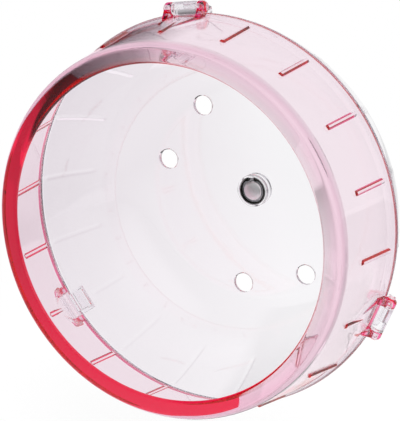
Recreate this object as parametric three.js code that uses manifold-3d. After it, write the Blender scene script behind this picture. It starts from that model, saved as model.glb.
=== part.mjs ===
// Running wheel for a small pet, in millimetres, with +Z up.
// The wheel turns about Y, its open mouth faces -Y, and the origin is on the rear end face of its axle pin.
// Two moulded shells, a pink front ring and a clear rear bowl, meet edge to edge at a flared seam.
// Three hinged latches hold them together. A small ball bearing in the bowl's hub carries the wheel on the pin.

import * as THREE from 'three';
import { mergeVertices } from 'three/addons/utils/BufferGeometryUtils.js';
import { ConvexGeometry } from 'three/addons/geometries/ConvexGeometry.js';
import Module from 'manifold-3d';

// Depths are measured along the axle from the mouth's edge towards the back.
// Turns are degrees about the axle from the top towards +X.

// Wheel as a whole
const SEAM_RADIUS = 88.6;
const REST_TURN = -6.7;
const SHELL_SEGMENTS = 54;
const RIB_COUNT = 18;
const LATCH_COUNT = 3;
const AXLE_END_DEPTH = 92.6;

// Front ring
const RING_WALL = 1.5;
const RING_TAPER = 7.5;
const RING_FOOT_RADIUS = 86.53;
const RING_FOOT_DEPTH = 37.7;
const RING_BACK = 41.5;
const FLARE_FRONT = 36;
const LIP_INNER = 73.8;
const LIP_FRONT = -1.1;
const LIP_RIM = 2;
const LIP_BEND = 3;
const LIP_LEAN = 64.5;
const RING_RIB_FRONT = 14.8;
const RING_RIB_BACK = 38;
const RING_RIB_FOOT_HALF = 1.35;
const RING_RIB_TOP_HALF = 0.5;
const RING_RIB_HEIGHT = 1;

// Rear bowl
const BOWL_WALL = 2;
const BOWL_START_DEPTH = 41.8;
const BOWL_START_RADIUS = 88.4;
const BOWL_SIDE_RADIUS = 105;
const BOWL_SIDE_FROM = 14;
const BOWL_SIDE_TO = 34;
const BOWL_BACK_DEPTH = 88.9;
const BOWL_RIB_FRONT = 45;
const BOWL_RIB_BACK = 71;
const BOWL_RIB_BEHIND_LATCH = 54;
const BOWL_RIB_WIDTH = 1.7;
const BOWL_RIB_HEIGHT = 0.3;
const TONGUE_FRONT = 38.4;
const TONGUE_BACK = 48.5;
const TONGUE_OUTER = 85.8;
const TONGUE_INNER = 84.5;
const TONGUE_WIDTH = 9;
const VENT_CIRCLE = 45.7;
const VENT_RADIUS = 4.6;
const VENT_TURNS = [-77.5, -35.5, 144.5, 186.5];

// Hub boss of the bowl
const HUB_SEGMENTS = 24;
const HUB_OUTER = 7.5;
const HUB_BORE = 6.2;
const HUB_GROOVE = 6.75;
const HUB_GROOVE_FRONT = 85.1;
const HUB_GROOVE_BACK = 85.9;
const HUB_SHOULDER_BORE = 4.9;
const HUB_FRONT = 84.7;
const HUB_BACK = 91.4;
const HUB_SHOULDER = 90.3;
const HUB_CHAMFER = 0.3;

// Latch and the lugs that carry it
const PIVOT_RADIUS = 90.5;
const PIVOT_DEPTH = 40.2;
const BARREL_RADIUS = 2.9;
const BARREL_ROOM = 0.4;
const HINGE_PIN_RADIUS = 1.4;
const HINGE_PIN_LENGTH = 2.9;
const SOCKET_RADIUS = 1.7;
const SOCKET_LENGTH = 3.2;
const LATCH_WIDTH = 12;
const LATCH_SIDE_GAP = 0.3;
const LATCH_SLOPE = 19;
const LATCH_THICKNESS = 1.8;
const HOOK_FRONT = 10.4;
const HOOK_BACK = 12.3;
const HOOK_TIP = -4.4;
const LUG_WIDTH = 4;
const LUG_FRONT = 34.5;
const LUG_FRONT_TOP = 87;
const LUG_FOOT = 85;
const CATCH_FRONT = 6.8;
const CATCH_BACK = 9.9;
const CATCH_TOP = -3;
const CATCH_FOOT = 85.3;
const CATCH_WIDTH = 10;

// Hollow pad that lifts the ring's wall under each pair of lugs
const PAD_FRONT = 18;
const PAD_FRONT_HALF = 1;
const PAD_BACK_HALF = 8.5;
const PAD_FRONT_TOP = 0.15;
const PAD_BACK_TOP = 88.4;

// Ball bearing, snap rings and axle pin
const BEARING_FRONT = 86.1;
const BEARING_BACK = 90.1;
const BEARING_OUTER = 6;
const BEARING_BORE = 3.1;
const BALL_COUNT = 8;
const BALL_RADIUS = 0.7;
const BALL_CIRCLE = 4.5;
const OUTER_RACE_LAND = 5.1;
const INNER_RACE_LAND = 3.9;
const TRACK_DEPTH = 0.2;
const TRACK_FLOOR_HALF = 0.3;
const TRACK_MOUTH_HALF = 0.6;
const CAGE_POCKET = 0.85;
const CAGE_HALF = 0.3;
const CAGE_LENGTH = 1.2;
const SHIELD_INNER = 4.05;
const SHIELD_OUTER = 4.95;
const SHIELD_THICKNESS = 0.25;
const SHIELD_INSET = 0.15;
const BEARING_RING = { inner: 5.5, outer: 6.6, gapHalf: 12, front: 85.25 };
const BEARING_RING_EAR_INNER = 4.95;
const BEARING_RING_EAR_TURN = 18;
const AXLE_RING = { inner: 2.5, outer: 4.1, gapHalf: 35, front: 90.5 };
const PIN_RADIUS = 2.9;
const PIN_HEAD_RADIUS = 4.5;
const PIN_HEAD_FRONT = 84.75;
const PIN_HEAD_BACK = 85.95;
const PIN_GROOVE_RADIUS = 2.3;
const PIN_GROOVE_FRONT = 90.35;
const PIN_GROOVE_BACK = 91.15;
const SNAP_RING_THICKNESS = 0.5;

const wasm = await Module();
wasm.setup();

const radians = THREE.MathUtils.degToRad;

// Depth along the axle as a Y coordinate
function toY(depth) {
  return depth - AXLE_END_DEPTH;
}

// A solid for joining and cutting, from a closed geometry
function solidOf(geometry) {
  const bare = geometry.clone();
  bare.deleteAttribute('normal');
  bare.deleteAttribute('uv');
  const weld = 1e-4;
  const merged = mergeVertices(bare, weld);
  const vertProperties = new Float32Array(merged.attributes.position.array);
  const triVerts = new Uint32Array(merged.index.array);
  return new wasm.Manifold(new wasm.Mesh({ numProp: 3, vertProperties, triVerts }));
}

// A geometry from a solid
function geometryOf(solid) {
  const mesh = solid.getMesh();
  const geometry = new THREE.BufferGeometry();
  geometry.setAttribute('position', new THREE.BufferAttribute(new Float32Array(mesh.vertProperties), 3));
  geometry.setIndex(new THREE.BufferAttribute(new Uint32Array(mesh.triVerts), 1));
  geometry.computeVertexNormals();
  return geometry;
}

// A turned piece: profile points are [radius, depth], front to back outside and back to front inside
function turned(profile, segments) {
  const points = profile.map(([radius, depth]) => new THREE.Vector2(radius, toY(depth)));
  return new THREE.LatheGeometry(points, segments);
}

function closed(profile) {
  return [...profile, profile[0]];
}

// Evenly spaced values from one end to the other
function spread(from, to, steps) {
  return Array.from({ length: steps + 1 }, (unused, i) => from + ((to - from) * i) / steps);
}

// Points of an arc in the radius and depth plane: 0 degrees faces the front and 90 faces outwards
function arc(radius, depth, bend, from, to, steps) {
  return spread(from, to, steps).map((angle) => [
    radius + bend * Math.sin(radians(angle)),
    depth - bend * Math.cos(radians(angle)),
  ]);
}

// A slice across the tangent at the top of the wheel: outline points are [depth, height above the axle]
function slice(outline, width, middle = 0) {
  const shape = new THREE.Shape(outline.map(([depth, height]) => new THREE.Vector2(toY(depth), height)));
  const geometry = new THREE.ExtrudeGeometry(shape, { depth: width, bevelEnabled: false });
  const axes = new THREE.Matrix4().makeBasis(
    new THREE.Vector3(0, 1, 0),
    new THREE.Vector3(0, 0, 1),
    new THREE.Vector3(1, 0, 0),
  );
  return geometry.applyMatrix4(axes).translate(middle - width / 2, 0, 0);
}

// A plate square to the axle: outline points are [x, z]
function plate(outline, front, back) {
  const shape = new THREE.Shape(outline.map(([x, z]) => new THREE.Vector2(x, -z)));
  const geometry = new THREE.ExtrudeGeometry(shape, { depth: back - front, bevelEnabled: false });
  return geometry.rotateX(-Math.PI / 2).translate(0, toY(front), 0);
}

function turnedBy(geometry, turn) {
  return geometry.rotateY(radians(turn));
}

function everyTurn(count) {
  return spread(0, 360, count).slice(0, count);
}

const ribTurns = everyTurn(RIB_COUNT);
const latchTurns = everyTurn(LATCH_COUNT);

// A bar across the tangent at the top of the wheel, about the latch's pivot
function pivotBar(radius, width) {
  const sides = 20;
  const bar = new THREE.CylinderGeometry(radius, radius, width, sides);
  return bar.rotateZ(Math.PI / 2).translate(0, toY(PIVOT_DEPTH), PIVOT_RADIUS);
}

const gapWidth = LATCH_WIDTH + 2 * LATCH_SIDE_GAP;

// Front ring: a thin tapered wall, a solid lip with a flat front round the mouth, and a flare at the seam
const ringSlope = Math.tan(radians(RING_TAPER));
const flareLength = RING_BACK - FLARE_FRONT;
const flareRise = SEAM_RADIUS - ringOuter(RING_BACK);

// The wall's outer face without its flare
function ringOuter(depth) {
  return RING_FOOT_RADIUS + ringSlope * (depth - RING_FOOT_DEPTH);
}

// A point on the ring's wall, so far inside its outer face
function ringWall(depth, inside) {
  const along = Math.max(depth - FLARE_FRONT, 0) / flareLength;
  const slope = ringSlope + (2 * flareRise * along) / flareLength;
  return [ringOuter(depth) + flareRise * along ** 2 - inside * Math.hypot(1, slope), depth];
}

function makeFrontRing() {
  const bendSteps = 4;
  const rimSteps = 6;
  const flareSteps = 3;
  const bendDepth = LIP_FRONT + LIP_BEND;
  const bendRadius = ringOuter(bendDepth) - LIP_BEND / Math.cos(radians(RING_TAPER));
  const rim = arc(LIP_INNER + LIP_RIM, LIP_FRONT + LIP_RIM, LIP_RIM, -90 - LIP_LEAN, 0, rimSteps);

  // The lip's back leans away from its front until it meets the wall's inner face.
  const [rimRadius, rimDepth] = rim[0];
  const lipSlope = Math.tan(radians(LIP_LEAN));
  const wallAtMouth = ringWall(0, RING_WALL)[0];
  const lipBack = (wallAtMouth - rimRadius + lipSlope * rimDepth) / (lipSlope - ringSlope);
  const flareDepths = spread(FLARE_FRONT, RING_BACK, flareSteps);
  const shell = solidOf(turned(closed([
    ...rim,
    ...arc(bendRadius, bendDepth, LIP_BEND, 0, 90 - RING_TAPER, bendSteps),
    ...flareDepths.map((depth) => ringWall(depth, 0)),
    ...flareDepths.reverse().map((depth) => ringWall(depth, RING_WALL)),
    ringWall(lipBack, RING_WALL),
  ]), SHELL_SEGMENTS));

  let ring = shell;
  ribTurns.forEach((turn) => {
    ring = ring.add(solidOf(turnedBy(makeRingRib(), turn)));
  });
  latchTurns.forEach((turn) => {
    ring = ring.add(solidOf(turnedBy(makePad(), turn)));
    [-1, 1].forEach((side) => {
      const lug = makeLug((side * (gapWidth + LUG_WIDTH)) / 2);
      ring = ring.add(solidOf(turnedBy(lug, turn)));
    });
    ring = ring.subtract(solidOf(turnedBy(makePad().translate(0, 0, -RING_WALL), turn)));
    ring = ring.subtract(solidOf(turnedBy(pivotBar(BARREL_RADIUS + BARREL_ROOM, gapWidth), turn)));
    ring = ring.subtract(solidOf(turnedBy(pivotBar(SOCKET_RADIUS, gapWidth + 2 * SOCKET_LENGTH), turn)));
  });
  return geometryOf(ring);
}

// A raised line along the wall, with sloped sides and a sloped nose
function makeRingRib() {
  const embed = 0.4;
  const nose = 0.5;
  const points = [];
  [-1, 1].forEach((side) => {
    [RING_RIB_FRONT, RING_RIB_BACK].forEach((depth) => {
      const foot = ringOuter(depth) - embed;
      points.push(new THREE.Vector3(side * RING_RIB_FOOT_HALF, toY(depth), foot));
    });
    [RING_RIB_FRONT + nose, RING_RIB_BACK - nose].forEach((depth) => {
      const top = ringOuter(depth) + RING_RIB_HEIGHT;
      points.push(new THREE.Vector3(side * RING_RIB_TOP_HALF, toY(depth), top));
    });
  });
  return new ConvexGeometry(points);
}

// A wedge that widens and rises from the ring's wall to the seam
function makePad() {
  const frontEmbed = 1.1;
  const frontDraft = 0.5;
  const backFoot = 86.3;
  const backDraft = 2;
  const frontWall = ringOuter(PAD_FRONT);
  const points = [];
  [-1, 1].forEach((side) => {
    const frontFootHalf = side * (PAD_FRONT_HALF + frontDraft);
    const backFootHalf = side * (PAD_BACK_HALF + backDraft);
    points.push(new THREE.Vector3(frontFootHalf, toY(PAD_FRONT), frontWall - frontEmbed));
    points.push(new THREE.Vector3(side * PAD_FRONT_HALF, toY(PAD_FRONT), frontWall + PAD_FRONT_TOP));
    points.push(new THREE.Vector3(backFootHalf, toY(RING_BACK), backFoot));
    points.push(new THREE.Vector3(side * PAD_BACK_HALF, toY(RING_BACK), PAD_BACK_TOP));
  });
  return new ConvexGeometry(points);
}

// A round-ended ear beside the latch, which runs down into the wall
function makeLug(middle) {
  const heel = [40.8, 86.6];
  const eye = spread(-90, 125, 12).map((angle) => [
    PIVOT_DEPTH + BARREL_RADIUS * Math.cos(radians(angle)),
    PIVOT_RADIUS + BARREL_RADIUS * Math.sin(radians(angle)),
  ]);
  return slice([
    [LUG_FRONT, LUG_FOOT],
    heel,
    ...eye,
    [LUG_FRONT, LUG_FRONT_TOP],
  ], LUG_WIDTH, middle);
}

// Rear bowl: a plain edge at the seam, a curved side, and a flat back with a hub boss
const sideCentreRadius = BOWL_START_RADIUS - BOWL_SIDE_RADIUS * Math.cos(radians(BOWL_SIDE_FROM));
const sideCentreDepth = BOWL_START_DEPTH - BOWL_SIDE_RADIUS * Math.sin(radians(BOWL_SIDE_FROM));
const sideEnd = bowlSide(BOWL_SIDE_TO, 0);
const cornerRise = 1 - Math.sin(radians(BOWL_SIDE_TO));
const cornerRadius = (BOWL_BACK_DEPTH - sideEnd[1]) / cornerRise;
const flatRadius = sideEnd[0] - cornerRadius * Math.cos(radians(BOWL_SIDE_TO));
const cornerDepth = BOWL_BACK_DEPTH - cornerRadius;

// A point on the bowl's side where its surface leans in by this angle, so far inside the outer face
function bowlSide(lean, inside) {
  const bend = BOWL_SIDE_RADIUS - inside;
  return [
    sideCentreRadius + bend * Math.cos(radians(lean)),
    sideCentreDepth + bend * Math.sin(radians(lean)),
  ];
}

function bowlLean(depth) {
  return THREE.MathUtils.radToDeg(Math.asin((depth - sideCentreDepth) / BOWL_SIDE_RADIUS));
}

function makeRearBowl() {
  const sideSteps = 4;
  const cornerSteps = 4;
  const cornerArc = (inside) => spread(BOWL_SIDE_TO, 90, cornerSteps).map((lean) => [
    flatRadius + (cornerRadius - inside) * Math.cos(radians(lean)),
    cornerDepth + (cornerRadius - inside) * Math.sin(radians(lean)),
  ]);
  const sideLeans = spread(BOWL_SIDE_FROM, BOWL_SIDE_TO, sideSteps);
  const sideArc = (inside) => sideLeans.map((lean) => bowlSide(lean, inside));
  const centreHole = (HUB_OUTER + HUB_BORE) / 2;
  const edgeInner = BOWL_START_RADIUS - BOWL_WALL / Math.cos(radians(BOWL_SIDE_FROM));
  const shell = solidOf(turned(closed([
    [edgeInner, BOWL_START_DEPTH],
    ...sideArc(0),
    ...cornerArc(0).slice(1),
    [centreHole, BOWL_BACK_DEPTH],
    [centreHole, BOWL_BACK_DEPTH - BOWL_WALL],
    ...cornerArc(BOWL_WALL).reverse(),
    ...sideArc(BOWL_WALL).reverse().slice(1, -1),
  ]), SHELL_SEGMENTS));

  // The edge is notched under each latch, where the barrel and the lugs turn down over it.
  const lugRoom = 0.5;
  let bowl = shell.add(solidOf(makeHubBoss()));
  ribTurns.forEach((turn) => {
    const behindLatch = latchTurns.includes(turn);
    const front = behindLatch ? BOWL_RIB_BEHIND_LATCH : BOWL_RIB_FRONT;
    bowl = bowl.add(solidOf(turnedBy(makeBowlRib(front), turn)));
  });
  latchTurns.forEach((turn) => {
    const notch = pivotBar(BARREL_RADIUS + BARREL_ROOM, gapWidth + 2 * (LUG_WIDTH + lugRoom));
    bowl = bowl.add(solidOf(turnedBy(makeTongue(), turn)));
    bowl = bowl.subtract(solidOf(turnedBy(notch, turn)));
    bowl = bowl.add(solidOf(turnedBy(makeCatch(), turn)));
  });
  VENT_TURNS.forEach((turn) => {
    bowl = bowl.subtract(solidOf(turnedBy(makeVent(), turn - REST_TURN)));
  });
  return geometryOf(bowl);
}

// A short tube for the bearing, with a groove for its snap ring in front and a shoulder behind
function makeHubBoss() {
  return turned(closed([
    [HUB_BORE, HUB_FRONT],
    [HUB_OUTER - HUB_CHAMFER, HUB_FRONT],
    [HUB_OUTER, HUB_FRONT + HUB_CHAMFER],
    [HUB_OUTER, HUB_BACK],
    [HUB_SHOULDER_BORE, HUB_BACK],
    [HUB_SHOULDER_BORE, HUB_SHOULDER],
    [HUB_BORE, HUB_SHOULDER],
    [HUB_BORE, HUB_GROOVE_BACK],
    [HUB_GROOVE, HUB_GROOVE_BACK],
    [HUB_GROOVE, HUB_GROOVE_FRONT],
    [HUB_BORE, HUB_GROOVE_FRONT],
  ]), HUB_SEGMENTS);
}

// A raised line along the bowl's side, from the given depth almost to the back
function makeBowlRib(front) {
  const foot = 0.8;
  const steps = 3;
  const lines = spread(bowlLean(front), bowlLean(BOWL_RIB_BACK), steps);
  const crest = lines.map((lean) => bowlSide(lean, -BOWL_RIB_HEIGHT).reverse());
  const root = lines.map((lean) => bowlSide(lean, foot).reverse());
  return slice([...root, ...crest.reverse()], BOWL_RIB_WIDTH);
}

// A tongue on the bowl's inside that reaches into the ring's hollow pad and keeps the two shells in line
function makeTongue() {
  const slopeFront = 44;
  const rootBack = [46.5, 85.6];
  const rootFront = [42.3, 86.9];
  const stepDepth = 42;
  const backRadius = 84.7;
  return slice([
    [TONGUE_FRONT, TONGUE_INNER],
    [slopeFront, TONGUE_INNER],
    [TONGUE_BACK, backRadius],
    rootBack,
    rootFront,
    [stepDepth, TONGUE_OUTER],
    [TONGUE_FRONT, TONGUE_OUTER],
  ], TONGUE_WIDTH);
}

// The ridge that the latch's hook drops behind
function makeCatch() {
  const leadIn = 1.2;
  const front = PIVOT_DEPTH + CATCH_FRONT;
  const back = PIVOT_DEPTH + CATCH_BACK;
  const top = PIVOT_RADIUS + CATCH_TOP;
  return slice([
    [front, CATCH_FOOT],
    [back, CATCH_FOOT],
    [back, top],
    [front + leadIn, top],
    [front, top - leadIn],
  ], CATCH_WIDTH);
}

function makeVent() {
  const sides = 20;
  const drill = new THREE.CylinderGeometry(VENT_RADIUS, VENT_RADIUS, 4 * BOWL_WALL, sides);
  return drill.translate(0, toY(BOWL_BACK_DEPTH - BOWL_WALL / 2), VENT_CIRCLE);
}

// Latch: a barrel with a pin at each end, an arm over the seam and a hook behind the catch
function makeLatch() {
  const armTop = 90 - LATCH_SLOPE;
  const armLow = armTop - THREE.MathUtils.radToDeg(Math.acos(1 - LATCH_THICKNESS / BARREL_RADIUS));
  const along = [Math.cos(radians(LATCH_SLOPE)), -Math.sin(radians(LATCH_SLOPE))];
  const topFoot = [BARREL_RADIUS * Math.cos(radians(armTop)), BARREL_RADIUS * Math.sin(radians(armTop))];
  const lowFoot = [topFoot[0] + LATCH_THICKNESS * along[1], topFoot[1] - LATCH_THICKNESS * along[0]];
  const onLine = (foot, back) => [back, foot[1] + ((back - foot[0]) * along[1]) / along[0]];
  const barrelSteps = 16;
  const tipRound = 0.5;
  const outline = [
    onLine(lowFoot, HOOK_FRONT),
    [HOOK_FRONT, HOOK_TIP + tipRound],
    [HOOK_FRONT + tipRound, HOOK_TIP],
    [HOOK_BACK - tipRound, HOOK_TIP],
    [HOOK_BACK, HOOK_TIP + tipRound],
    onLine(topFoot, HOOK_BACK),
    ...spread(armTop, 360 + armLow, barrelSteps).map((angle) => [
      BARREL_RADIUS * Math.cos(radians(angle)),
      BARREL_RADIUS * Math.sin(radians(angle)),
    ]),
  ];
  const clip = slice(outline.map(([back, out]) => [PIVOT_DEPTH + back, PIVOT_RADIUS + out]), LATCH_WIDTH);
  const pins = pivotBar(HINGE_PIN_RADIUS, gapWidth + 2 * HINGE_PIN_LENGTH);
  return geometryOf(solidOf(clip).add(solidOf(pins)));
}

// Ball bearing
const ballDepth = (BEARING_FRONT + BEARING_BACK) / 2;

// The groove that the balls run in, front to back, cut into the face of a race
function ballTrack(land, floor) {
  return [
    [land, ballDepth - TRACK_MOUTH_HALF],
    [floor, ballDepth - TRACK_FLOOR_HALF],
    [floor, ballDepth + TRACK_FLOOR_HALF],
    [land, ballDepth + TRACK_MOUTH_HALF],
  ];
}

function makeOuterRace() {
  return turned(closed([
    [OUTER_RACE_LAND, BEARING_FRONT],
    [BEARING_OUTER, BEARING_FRONT],
    [BEARING_OUTER, BEARING_BACK],
    [OUTER_RACE_LAND, BEARING_BACK],
    ...ballTrack(OUTER_RACE_LAND, OUTER_RACE_LAND + TRACK_DEPTH).reverse(),
  ]), HUB_SEGMENTS);
}

function makeInnerRace() {
  return turned(closed([
    [BEARING_BORE, BEARING_FRONT],
    [INNER_RACE_LAND, BEARING_FRONT],
    ...ballTrack(INNER_RACE_LAND, INNER_RACE_LAND - TRACK_DEPTH),
    [INNER_RACE_LAND, BEARING_BACK],
    [BEARING_BORE, BEARING_BACK],
  ]), HUB_SEGMENTS);
}

function makeBall(radius, turn) {
  const sides = 10;
  const rings = 6;
  const ball = new THREE.SphereGeometry(radius, sides, rings);
  return turnedBy(ball.translate(0, toY(ballDepth), BALL_CIRCLE), turn);
}

// A crown of pockets that keeps the balls apart
function makeCage() {
  const inner = BALL_CIRCLE - CAGE_HALF;
  const outer = BALL_CIRCLE + CAGE_HALF;
  const back = ballDepth + CAGE_LENGTH;
  let cage = solidOf(turned(closed([
    [inner, ballDepth],
    [outer, ballDepth],
    [outer, back],
    [inner, back],
  ]), HUB_SEGMENTS));
  everyTurn(BALL_COUNT).forEach((turn) => {
    cage = cage.subtract(solidOf(makeBall(CAGE_POCKET, turn)));
  });
  return geometryOf(cage);
}

function makeShield(front) {
  const back = front + SHIELD_THICKNESS;
  return turned(closed([
    [SHIELD_INNER, front],
    [SHIELD_OUTER, front],
    [SHIELD_OUTER, back],
    [SHIELD_INNER, back],
  ]), HUB_SEGMENTS);
}

// A flat piece of a ring, as thick as snap rings are, between two turns
function ringSector(inner, outer, from, to, front) {
  const stepTurn = 18;
  const steps = Math.ceil((to - from) / stepTurn);
  const around = (radius, start, end) => spread(start, end, steps).map((turn) => [
    radius * Math.sin(radians(turn)),
    radius * Math.cos(radians(turn)),
  ]);
  return plate([...around(outer, from, to), ...around(inner, to, from)], front, front + SNAP_RING_THICKNESS);
}

// A snap ring open at the top
function makeSnapRing({ inner, outer, gapHalf, front }) {
  return ringSector(inner, outer, gapHalf, 360 - gapHalf, front);
}

// The snap ring in the hub's groove has an ear for pliers on each side of its gap
function makeBearingSnapRing() {
  const { inner, outer, gapHalf, front } = BEARING_RING;
  const earOuter = (inner + outer) / 2;
  const earEnd = gapHalf + BEARING_RING_EAR_TURN;
  const leftEar = ringSector(BEARING_RING_EAR_INNER, earOuter, 360 - earEnd, 360 - gapHalf, front);
  const rightEar = ringSector(BEARING_RING_EAR_INNER, earOuter, gapHalf, earEnd, front);
  return geometryOf(solidOf(makeSnapRing(BEARING_RING)).add(solidOf(leftEar)).add(solidOf(rightEar)));
}

function makeAxlePin() {
  const headRim = 0.35;
  const domeSteps = 5;
  const rise = PIN_HEAD_BACK - headRim - PIN_HEAD_FRONT;
  const dome = spread(0, 90, domeSteps).map((angle) => [
    PIN_HEAD_RADIUS * Math.sin(radians(angle)),
    PIN_HEAD_FRONT + rise * (1 - Math.cos(radians(angle))),
  ]);
  const chamfer = 0.3;
  return turned([
    ...dome,
    [PIN_HEAD_RADIUS, PIN_HEAD_BACK],
    [PIN_RADIUS, PIN_HEAD_BACK],
    [PIN_RADIUS, PIN_GROOVE_FRONT],
    [PIN_GROOVE_RADIUS, PIN_GROOVE_FRONT],
    [PIN_GROOVE_RADIUS, PIN_GROOVE_BACK],
    [PIN_RADIUS, PIN_GROOVE_BACK],
    [PIN_RADIUS, AXLE_END_DEPTH - chamfer],
    [PIN_RADIUS - chamfer, AXLE_END_DEPTH],
    [0, AXLE_END_DEPTH],
  ], HUB_SEGMENTS);
}

// Finishes
const pinkPlastic = { color: 0xf3a9c2, roughness: 0.08, metalness: 0, transparent: true, opacity: 0.55 };
const clearPlastic = { color: 0xe9ecf2, roughness: 0.08, metalness: 0, transparent: true, opacity: 0.4 };
const bearingSteel = { color: 0xc9ccd0, roughness: 0.2, metalness: 1 };
const springSteel = { color: 0x3a3d42, roughness: 0.4, metalness: 1 };
const brightSteel = { color: 0xe4e5e8, roughness: 0.15, metalness: 1 };
const cageNylon = { color: 0xe8e2d0, roughness: 0.5, metalness: 0 };

function piece(name, geometry, finish) {
  const mesh = new THREE.Mesh(geometry, new THREE.MeshStandardMaterial(finish));
  mesh.name = name;
  return mesh;
}

// Assembly: the wheel and its bearing balls stand at the turn they rest in, and the pin does not turn
const wheel = new THREE.Group();
wheel.rotation.y = radians(REST_TURN);
wheel.add(piece('front_ring', makeFrontRing(), pinkPlastic));
wheel.add(piece('rear_bowl', makeRearBowl(), clearPlastic));
latchTurns.forEach((turn, i) => {
  wheel.add(piece(`latch_${i + 1}`, turnedBy(makeLatch(), turn), clearPlastic));
});
wheel.add(piece('bearing_outer_race', makeOuterRace(), bearingSteel));
wheel.add(piece('bearing_shield_front', makeShield(BEARING_FRONT + SHIELD_INSET), bearingSteel));
const rearShieldFront = BEARING_BACK - SHIELD_INSET - SHIELD_THICKNESS;
wheel.add(piece('bearing_shield_rear', makeShield(rearShieldFront), bearingSteel));
wheel.add(piece('bearing_snap_ring', makeBearingSnapRing(), springSteel));
wheel.add(piece('bearing_cage', makeCage(), cageNylon));
everyTurn(BALL_COUNT).forEach((turn, i) => {
  wheel.add(piece(`bearing_ball_${i + 1}`, makeBall(BALL_RADIUS, turn), brightSteel));
});

const axle = new THREE.Group();
axle.add(piece('bearing_inner_race', makeInnerRace(), bearingSteel));
axle.add(piece('axle_pin', makeAxlePin(), brightSteel));
axle.add(piece('axle_snap_ring', makeSnapRing(AXLE_RING), springSteel));

const runningWheel = new THREE.Group();
runningWheel.add(wheel, axle);

export default runningWheel;
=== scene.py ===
import math

import bmesh
import bpy
from mathutils import Matrix, Vector


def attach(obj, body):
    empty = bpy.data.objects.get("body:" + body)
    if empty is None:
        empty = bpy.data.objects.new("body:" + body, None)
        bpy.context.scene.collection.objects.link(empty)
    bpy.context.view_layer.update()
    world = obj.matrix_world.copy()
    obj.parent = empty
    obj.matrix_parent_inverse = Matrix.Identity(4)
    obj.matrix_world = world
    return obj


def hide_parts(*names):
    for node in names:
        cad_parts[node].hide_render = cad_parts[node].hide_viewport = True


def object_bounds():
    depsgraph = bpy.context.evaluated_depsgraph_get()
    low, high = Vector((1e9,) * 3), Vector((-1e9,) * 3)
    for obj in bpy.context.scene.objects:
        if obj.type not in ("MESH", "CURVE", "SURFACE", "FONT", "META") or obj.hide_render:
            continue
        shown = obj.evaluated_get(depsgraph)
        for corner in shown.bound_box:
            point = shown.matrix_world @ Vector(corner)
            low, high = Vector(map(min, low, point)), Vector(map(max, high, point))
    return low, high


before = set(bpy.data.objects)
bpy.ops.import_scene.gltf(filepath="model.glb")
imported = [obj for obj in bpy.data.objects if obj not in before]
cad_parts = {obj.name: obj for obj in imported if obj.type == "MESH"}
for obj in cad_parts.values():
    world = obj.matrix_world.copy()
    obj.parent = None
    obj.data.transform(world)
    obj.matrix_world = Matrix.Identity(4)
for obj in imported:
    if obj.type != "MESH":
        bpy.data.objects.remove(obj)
cad_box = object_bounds()


# Rear bowl
# The clear back shell of the wheel, moulded in one shot from crystal polystyrene with its grip ribs,
# its vents, the tongues that reach into the front ring, the ridges for the latches and the boss that
# holds the bearing. All the pieces' sizes are in millimetres, with depths counted from the mouth.
MM = 0.001
AXLE_END_DEPTH = 92.6
REST_TURN = -6.7
RIB_COUNT = 18
RIB_PITCH = 360 / RIB_COUNT
ROUND_STEPS = 6
LATCH_TURNS = (0, 120, 240)
SEAM_RADIUS = 88.6


def spread(start, end, steps):
    """Evenly spaced values from one end to the other."""
    return [start + (end - start) * i / steps for i in range(steps + 1)]


def at(radius, depth, turn):
    """A point in the frame, from its radius, its depth behind the mouth, and its turn from the top."""
    angle = math.radians(turn + REST_TURN)
    return Vector((radius * math.sin(angle), depth - AXLE_END_DEPTH, radius * math.cos(angle))) * MM


def rounded(corners):
    """A closed outline with its corners rounded. Each corner is (radius, depth, rounding)."""
    outline = []
    for i, (r, d, bend) in enumerate(corners):
        here = Vector((r, d))
        if bend == 0:
            outline.append(here)
            continue
        back = (Vector(corners[i - 1][:2]) - here).normalized()
        ahead = (Vector(corners[(i + 1) % len(corners)][:2]) - here).normalized()
        half = back.angle(ahead) / 2
        middle = here + (back + ahead).normalized() * (bend / math.sin(half))
        first = here + back * (bend / math.tan(half)) - middle
        last = here + ahead * (bend / math.tan(half)) - middle
        sweep = first.angle_signed(last)
        outline += [middle + Matrix.Rotation(-a, 2) @ first for a in spread(0, sweep, ROUND_STEPS)]
    return outline


def lathe(profile_at, turns):
    """A closed ring-shaped mesh. profile_at gives the outline at a turn as (radius, depth) points."""
    form = bmesh.new()
    rings = [[form.verts.new(at(r, d, turn)) for r, d in profile_at(turn)] for turn in turns]
    for here, following in zip(rings, rings[1:] + rings[:1]):
        for i in range(len(here)):
            form.faces.new((here[i - 1], here[i], following[i], following[i - 1]))
    bmesh.ops.recalc_face_normals(form, faces=form.faces)
    return form


def ease_edges(form, bevel, sharp=25, segments=3):
    """Rounds every edge that turns by more than a given angle."""
    if bevel == 0:
        return
    form.normal_update()
    edges = [e for e in form.edges if e.is_manifold and e.calc_face_angle() > math.radians(sharp)]
    bmesh.ops.bevel(
        form, geom=edges, offset=bevel * MM, offset_type="OFFSET", segments=segments, profile=0.5,
        affect="EDGES", clamp_overlap=True,
    )


def across_turn(form, outline, across, turn):
    """New corners from (depth, radius) points, moved across the tangent at a turn."""
    angle = math.radians(turn + REST_TURN)
    radial = Vector((math.sin(angle), 0, math.cos(angle)))
    tangent = Vector((math.cos(angle), 0, -math.sin(angle)))
    axial = Vector((0, 1, 0))
    return [
        form.verts.new((radial * r + axial * (d - AXLE_END_DEPTH) + tangent * across) * MM)
        for d, r in outline
    ]


def close_slab(form, near, far, bevel):
    """Faces between two like outlines and over both of them, with their edges eased by a bevel."""
    form.faces.new(near)
    form.faces.new(list(reversed(far)))
    for i in range(len(near)):
        form.faces.new((near[i], near[i - 1], far[i - 1], far[i]))
    bmesh.ops.recalc_face_normals(form, faces=form.faces)
    ease_edges(form, bevel)


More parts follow.
